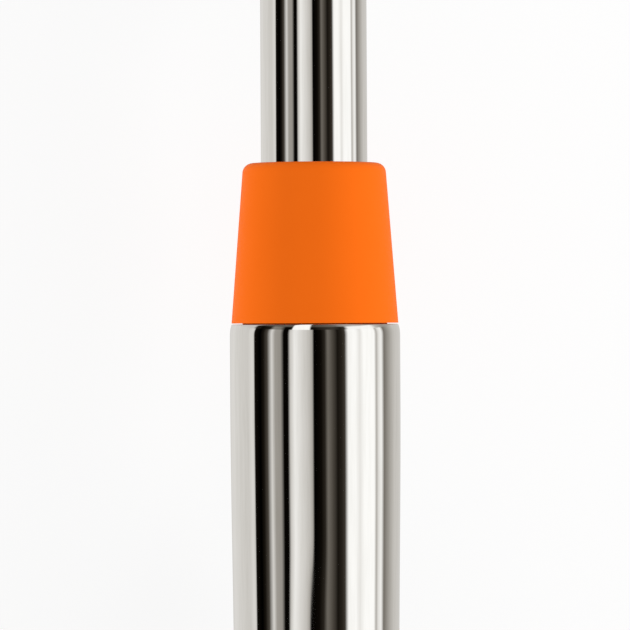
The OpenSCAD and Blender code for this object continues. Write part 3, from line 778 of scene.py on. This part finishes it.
def helix(name, radius, wire, low, high, turns, x, matrix):
    """A coil spring with closed ends, standing along z at x in the given frame."""
    sides, steps = 12, 28
    total = int(turns * steps)
    verts = []
    for i in range(total + 1):
        t = i / total
        # The end turns lie close together.
        lift = t - 0.6 * math.sin(2 * math.pi * t) / (2 * math.pi)
        a = 2 * math.pi * turns * t
        z = low + wire / 2 + (high - low - wire) * lift
        for k in range(sides):
            b = 2 * math.pi * k / sides
            r = radius + wire / 2 * math.cos(b)
            verts.append((x + r * math.cos(a), r * math.sin(a), z + wire / 2 * math.sin(b)))
    faces = quads(total + 1, sides, closed=False)
    faces.append(tuple(range(sides)))
    faces.append(tuple(range(total * sides + sides - 1, total * sides - 1, -1)))
    return new_object(name, verts, faces, matrix, 50)


def make_springs():
    """The carriage's two return springs and the lever's spring."""
    for name, x in (("return_spring_front", 63), ("return_spring_rear", 19)):
        spring = helix(name + "_coil", 3.5, 0.7, 9.2, 20.5, 4.5, x, HEAD)
        place(spring, FRONT, "spring_steel", name)
        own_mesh(spring)
    top = -(19.47 + 1.6 + 0.05)
    spring = helix("lever_spring_coil", 3.25, 0.8, -28.65, top, 3.5, -98, TUBE)
    place(spring, REAR, "spring_steel", "lever_spring")
    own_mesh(spring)


make_housing()
make_dial()
make_springs()

# ---- Length lock ----


def make_bracket():
    """The lock's bracket, with weld beads along its saddle's two long edges."""
    bracket = copy_of("bracket", "lock_bracket")
    profile = [(-1.6, 0.02), (-1.2, 0.9), (-0.4, 1.25), (0.4, 1.25), (1.2, 0.9), (1.6, 0.02)]
    beads = []
    edge = math.atan2(15.4, 12.3)
    z = -MOUTH_R * math.cos(edge)
    for side in (-1, 1):
        y = side * MOUTH_R * math.sin(edge)
        for i in range(27):
            bead = lathe("bead", profile, 12)
            x = -121 + 2.0 * i
            bead.matrix_world = TUBE @ Matrix.Translation((x * MM, y * MM, z * MM))
            beads.append(bead)
    join(bracket, *beads)
    melt(bracket, 0.3, 3, 0.25)
    place(bracket, REAR, "black_paint", "lock_bracket")


def make_grip():
    """The lever's grip, with six ribs across its underside."""
    grip = copy_of("grip", "lever_grip")
    ribs = []
    pitch, rise = 4.2, 0.065
    across = Matrix.Rotation(math.pi / 2, 4, "Z")
    for i in range(6):
        x = -131.0 + pitch * i
        z = -41.45 + rise * pitch * i
        rib = lathe("rib", [(-7.2, 0.02), (-6.6, 0.75), (6.6, 0.75), (7.2, 0.02)], 16)
        rib.matrix_world = TUBE @ Matrix.Translation((x * MM, 0, z * MM)) @ across
        ribs.append(rib)
    join(grip, *ribs)
    melt(grip, 0.28, 4, 0.3)
    place(grip, "lock_lever", "orange_knob", "lever_grip")


def make_socket():
    """The bumper's cast socket."""
    socket = copy_of("socket", "bumper_socket")
    melt(socket, 0.5, 4, 0.3)
    place(socket, REAR, "socket_alloy", "bumper_socket")


make_bracket()
make_grip()
make_socket()
for name, width in (
    ("lock_lever", 0.35), ("lever_pivot_pin", 0.3), ("collar_screw", 0.12),
    ("socket_set_screws", 0.15), ("bumper_plate", 0.7), ("plate_screws", 0.2),
    ("blade_tie_rods", 0.2), ("dial_screw", 0.25), ("guide_screws", 0.25), ("neck_roll_pins", 0.2),
    ("pin_carriage", 0.5), ("pin_cap_plate", 0.25), ("blade_spacers", 0.2),
    ("rear_guide_bush", 0.3), ("bush_pin", 0.2), ("tee_nuts", 0.15),
):
    soften(name, width)

# ---- Bolts and nuts ----


def hex_head(corner, height, matrix, bore=0.0):
    """A hexagon with its top corners chamfered, standing along Z of the given frame."""
    verts = []
    segments, rings = 72, 5
    flat = corner * math.cos(math.pi / 6)
    shoulder = flat * 0.96
    for ring in range(rings):
        for k in range(segments):
            a = 2 * math.pi * k / segments
            off = (a + math.pi / 6) % (math.pi / 3) - math.pi / 6
            side = flat / math.cos(math.pi / 6 - abs(off))
            top = height - (side - shoulder) * 0.5
            section = ((side, 0.0), (side, top), (shoulder, height), (bore, height), (bore, 0.0))
            r, z = section[ring]
            verts.append((r * math.cos(a), r * math.sin(a), z))
    return new_object("hex", verts, quads(rings, segments), matrix, 25)


def make_bolts():
    """The bumper flange's four bolts, each a shank and washer with a hexagon turned its own way."""
    parts = []
    seat = -174.8
    shank = fillet([
        (-192, 0, 0), (-192, 3, 0.6), (-176, 3, 0), (-176, 6.2, 0), (seat, 6.2, 0.4), (seat, 0, 0),
    ], 4)
    for y in (-28, 28):
        for z in (-28, 28):
            at = TUBE @ Matrix.Translation((0, y * MM, z * MM))
            parts.append(lathe("bolt", shank, 48, at))
            turn = Matrix.Rotation(math.radians(11 * (y + z) / 28 + 7), 4, "X")
            upright = Matrix.Rotation(math.pi / 2, 4, "Y")
            top = at @ Matrix.Translation((seat * MM, 0, 0)) @ turn @ upright
            parts.append(hex_head(5.77, 3.6, top))
    bolts = join(*parts)
    bolts.name = "flange_bolt_set"
    place(bolts, REAR, "screw_steel", "flange_bolts")


def make_nuts():
    """The nuts on the blades' two tie rods."""
    parts = []
    facing_out = Matrix.Rotation(-math.pi / 2, 4, "X")
    for x in (9, 80):
        at = HEAD @ Matrix.Translation((x * MM, 42 * MM, 4.2 * MM)) @ facing_out
        parts.append(hex_head(3.4, 2.4, at, 1.5))
    nuts = join(*parts)
    nuts.name = "tie_rod_nut_set"
    place(nuts, FRONT, "screw_steel", "tie_rod_nuts")


make_bolts()
make_nuts()

# ---- Pad ----

# In the tube's frame: x runs along the tube, and the pad's middle is PAD_MID above its axis.
PAD_MID = 5.17
PAD_HALF_W, PAD_HALF_H = 78.0, 69.0
PAD_CORNER, PAD_EDGE = 26.0, 16.0
FOLD_R = 2.0
PAD_FRONT, PAD_REAR = -183.4, -248.6
REAR_SEAM = PAD_REAR + 13.5
FRONT_SEAM = PAD_FRONT - 6.5
FLOOR = 0.0


def outline(half_w, half_h, radius):
    """A rectangle with round corners, of (y, z) points about the pad's centre."""
    signs = ((1, 1), (-1, 1), (-1, -1), (1, -1))
    return fillet([(half_w * a, half_h * b, radius) for a, b in signs], 10)


def loft(name, rings):
    """A closed skin through rings of (x, half width, half height, corner)."""
    verts = []
    for x, half_w, half_h, corner in rings:
        verts += [(x, y, z + PAD_MID) for y, z in outline(half_w, half_h, corner)]
    count = len(verts) // len(rings)
    faces = quads(len(rings), count, closed=False)
    faces.append(tuple(range(count)))
    faces.append(tuple(range(len(verts) - 1, len(verts) - count - 1, -1)))
    return new_object(name, verts, faces)


def pad_rings(inside, rear):
    """Rings of the pad's form: full size in front, drawn in behind by inside, ending at rear."""
    rings = []
    fold = FOLD_R
    edge = PAD_EDGE - fold

    def ring(x, off):
        corner = max(3.0, PAD_CORNER - off)
        rings.append((x, PAD_HALF_W - off, PAD_HALF_H - off, corner))

    for a in np.linspace(0, math.pi / 2, 5):
        ring(PAD_FRONT - fold * (1 - math.cos(a)), fold * (1 - math.sin(a)))
    for x in np.linspace(PAD_FRONT - 4, rear + edge, 14):
        t = clamped((PAD_FRONT - 10 - x) / 14)
        ring(x, inside * t * t * (3 - 2 * t))
    for a in np.linspace(0.15, math.pi / 2, 8):
        ring(rear + edge * (1 - math.sin(a)), inside + edge * (1 - math.cos(a)))
    return rings


def simulate(obj, pin, pressure, reach):
    """Blows the cloth up, holding its pinned points, and keeps each point within reach of its start."""
    group = obj.vertex_groups.new(name="pin")
    start = [v.co.copy() for v in obj.data.vertices]
    for v in obj.data.vertices:
        group.add([v.index], pin(v.co / MM), "REPLACE")
    cloth = obj.modifiers.new("cloth", "CLOTH")
    settings = cloth.settings
    settings.quality = 8
    settings.mass = 0.3
    settings.tension_stiffness = 40
    settings.compression_stiffness = 25
    settings.shear_stiffness = 15
    settings.bending_stiffness = 2.0
    settings.use_pressure = True
    settings.uniform_pressure_force = pressure
    settings.effector_weights.gravity = 0
    settings.vertex_group_mass = "pin"
    settings.pin_stiffness = 1.0
    frames = 20
    cloth.point_cache.frame_start = 1
    cloth.point_cache.frame_end = frames
    scene = bpy.context.scene
    for number in range(1, frames + 1):
        scene.frame_set(number)
    evaluated = obj.evaluated_get(bpy.context.evaluated_depsgraph_get())
    moved = [v.co.copy() for v in evaluated.data.vertices]
    obj.modifiers.remove(cloth)
    obj.vertex_groups.remove(group)
    scene.frame_set(1)
    for v, a, b in zip(obj.data.vertices, start, moved):
        step = b - a
        if step.length > reach * MM:
            step = step.normalized() * reach * MM
        v.co = a + step


def make_cushion():
    """The vinyl cover and the foam in it, blown up between its seams and cut open for the board."""
    cushion = loft("cushion", pad_rings(1.6, PAD_REAR + 2.5))
    remesh = cushion.modifiers.new("remesh", "REMESH")
    remesh.mode = "VOXEL"
    remesh.voxel_size = 4.6 * MM
    apply_modifiers(cushion)

    def pin(p):
        """Held where it wraps the board, and along the seam behind, fading to both sides of it."""
        front = clamped((p.x - FRONT_SEAM + 3.0) / 3.0)
        beside = max(abs(p.y) - PAD_HALF_W, abs(p.z - PAD_MID) - PAD_HALF_H) > -14
        seam = max(0.0, 1.0 - abs(p.x - REAR_SEAM) / 3.5) if beside else 0.0
        return max(front, seam)

    simulate(cushion, pin, pressure=5.5, reach=11.0)
    finer = cushion.modifiers.new("finer", "SUBSURF")
    finer.levels = 2
    apply_modifiers(cushion)
    shape_cushion(cushion)
    opening = loft("opening", [(-185.3, 62, 60, 16), (-179, 62, 60, 16)])
    opening.matrix_world = TUBE @ Matrix.Translation((0, 0, -PAD_MID * MM))
    cut(cushion, opening)
    shade(cushion, 45)
    place(cushion, REAR, "black_vinyl", "pad_cover", "pad_foam")
    return cushion


def outline_reach(y, z):
    """How far the pad's outline lies from its centre in the direction (y, z)."""
    length = math.hypot(y, z)
    u, v = abs(y) / length, abs(z) / length
    flat_w, flat_h = PAD_HALF_W - PAD_CORNER, PAD_HALF_H - PAD_CORNER
    if u * PAD_HALF_H < v * flat_w:
        return PAD_HALF_H / v
    if v * PAD_HALF_W < u * flat_h:
        return PAD_HALF_W / u
    along = u * flat_w + v * flat_h
    return along + math.sqrt(along ** 2 - flat_w ** 2 - flat_h ** 2 + PAD_CORNER ** 2)


def shape_cushion(cushion):
    """Trues the front where it wraps the board, sinks the seams and rests the underside on the floor."""
    for v in cushion.data.vertices:
        p = v.co / MM
        out = Vector((0, p.y, p.z - PAD_MID))
        reach = max(abs(out.y) / PAD_HALF_W, abs(out.z) / PAD_HALF_H)
        wraps = clamped((p.x - PAD_FRONT + 15) / 7)
        at_side = reach > 0.8
        if at_side and wraps > 0:
            fold = max(0.0, FOLD_R - (PAD_FRONT - p.x))
            round_off = FOLD_R - math.sqrt(max(0.0, FOLD_R ** 2 - fold ** 2))
            full = outline_reach(out.y, out.z) - round_off
            if out.length > full - 3 or fold == 0:
                p += out.normalized() * (full - out.length) * wraps
        if at_side:
            sink = 1.5 * math.exp(-((p.x - REAR_SEAM) / 1.8) ** 2)
            sink += 1.2 * math.exp(-((p.x - FRONT_SEAM) / 1.6) ** 2)
            p -= out.normalized() * sink
        p.x = min(p.x, PAD_FRONT)
        v.co = p * MM
    rest_on_floor(cushion)


def rest_on_floor(obj):
    """Lifts any point that is below the floor onto it."""
    to_tube = TUBE.inverted()
    for v in obj.data.vertices:
        world = obj.matrix_world @ v.co
        if world.z < FLOOR:
            world.z = FLOOR
            v.co = to_tube @ world


def seam_path(surface, x, count=260):
    """Evenly spaced points all round the cushion where it is cut across at x."""
    points = []
    mesh = surface.data
    tree = BVHTree.FromPolygons([v.co for v in mesh.vertices], [p.vertices for p in mesh.polygons])
    for k in range(count):
        a = 2 * math.pi * k / count
        way = Vector((0, math.cos(a) * PAD_HALF_W, math.sin(a) * PAD_HALF_H)).normalized()
        start = Vector((x, 0, PAD_MID)) * MM
        hit = tree.ray_cast(start + way * 0.2, -way)
        points.append(hit[0] / MM)
    return even(points, count)


def even(points, count):
    """The same closed path with its points evenly spaced."""
    ring = points + [points[0]]
    lengths = [0.0]
    for a, b in zip(ring, ring[1:]):
        lengths.append(lengths[-1] + (b - a).length)
    result = []
    i = 0
    for k in range(count):
        at = lengths[-1] * k / count
        while lengths[i + 1] < at:
            i += 1
        t = (at - lengths[i]) / max(1e-9, lengths[i + 1] - lengths[i])
        result.append(ring[i].lerp(ring[i + 1], t))
    return result


def make_board():
    """The plywood board, its front edges eased where the cover folds over them."""
    half_w, half_h, corner = 74.8, 65.8, 22.7
    front, rear = -185.0, -193.0
    eased = 2.5
    rings = []
    for a in np.linspace(0, math.pi / 2, 5):
        off = eased * (1 - math.sin(a))
        x = front - eased * (1 - math.cos(a))
        rings.append((x, half_w - off, half_h - off, corner - off))
    rings.append((rear + 0.6, half_w, half_h, corner))
    rings.append((rear, half_w - 0.6, half_h - 0.6, corner - 0.6))
    board = loft("board", rings)
    shade(board, 30)
    place(board, REAR, "plywood", "pad_board")


def seam_frame(p, before, after):
    """The ways ahead, out and aside at a point p of a seam's path."""
    ahead = (after - before).normalized()
    out = Vector((0, p.y, p.z - PAD_MID)).normalized()
    side = ahead.cross(out).normalized()
    return ahead, side.cross(ahead).normalized(), side


def make_piping(name, path, radius):
    """A round cord sewn into a seam: path is a closed ring of points in the tube's frame."""
    sides = 12
    verts = []
    count = len(path)
    for i, p in enumerate(path):
        _, out, side = seam_frame(p, path[i - 1], path[(i + 1) % count])
        for k in range(sides):
            b = 2 * math.pi * k / sides
            verts.append(tuple(p + out * radius * math.cos(b) + side * radius * math.sin(b)))
    piping = new_object(name, verts, quads(count, sides))
    rest_on_floor(piping)
    piping.data.shade_smooth()
    place(piping, REAR, "black_vinyl")


def make_stitches(name, surface, rows):
    """Short stitches that lie on the surface beside the seams."""
    verts, faces = [], []
    profile = [(-0.5, 0.35), (-0.36, 0.9), (0.0, 1.0), (0.36, 0.9), (0.5, 0.35)]
    sides = 6
    pitch, length, thread_r, proud = 5.0, 3.6, 0.36, 0.12
    for x in rows:
        path = seam_path(surface, x, 240)
        total = sum((b - a).length for a, b in zip(path, path[1:] + path[:1]))
        number = int(total / pitch)
        spots = even(path, number)
        for i, p in enumerate(spots):
            ahead, out, side = seam_frame(p, spots[i - 1], spots[(i + 1) % number])
            first = len(verts)
            for t, r in profile:
                for k in range(sides):
                    b = 2 * math.pi * k / sides
                    round_thread = (out * math.cos(b) + side * math.sin(b)) * thread_r * r
                    verts.append(tuple(p + ahead * length * t + round_thread + out * proud))
            faces += quads(len(profile), sides, closed=False, first=first)
            faces.append(tuple(first + k for k in range(sides)))
            last = first + (len(profile) - 1) * sides
            faces.append(tuple(last + sides - 1 - k for k in range(sides)))
    stitches = new_object(name, verts, faces)
    rest_on_floor(stitches)
    place(stitches, REAR, "black_vinyl")


make_board()
pad = make_cushion()
make_piping("rear_piping", seam_path(pad, REAR_SEAM), 1.9)
make_piping("front_piping", seam_path(pad, FRONT_SEAM), 1.6)
make_stitches("pad_stitching", pad, (REAR_SEAM + 4.6, REAR_SEAM - 4.4, FRONT_SEAM - 4.2))
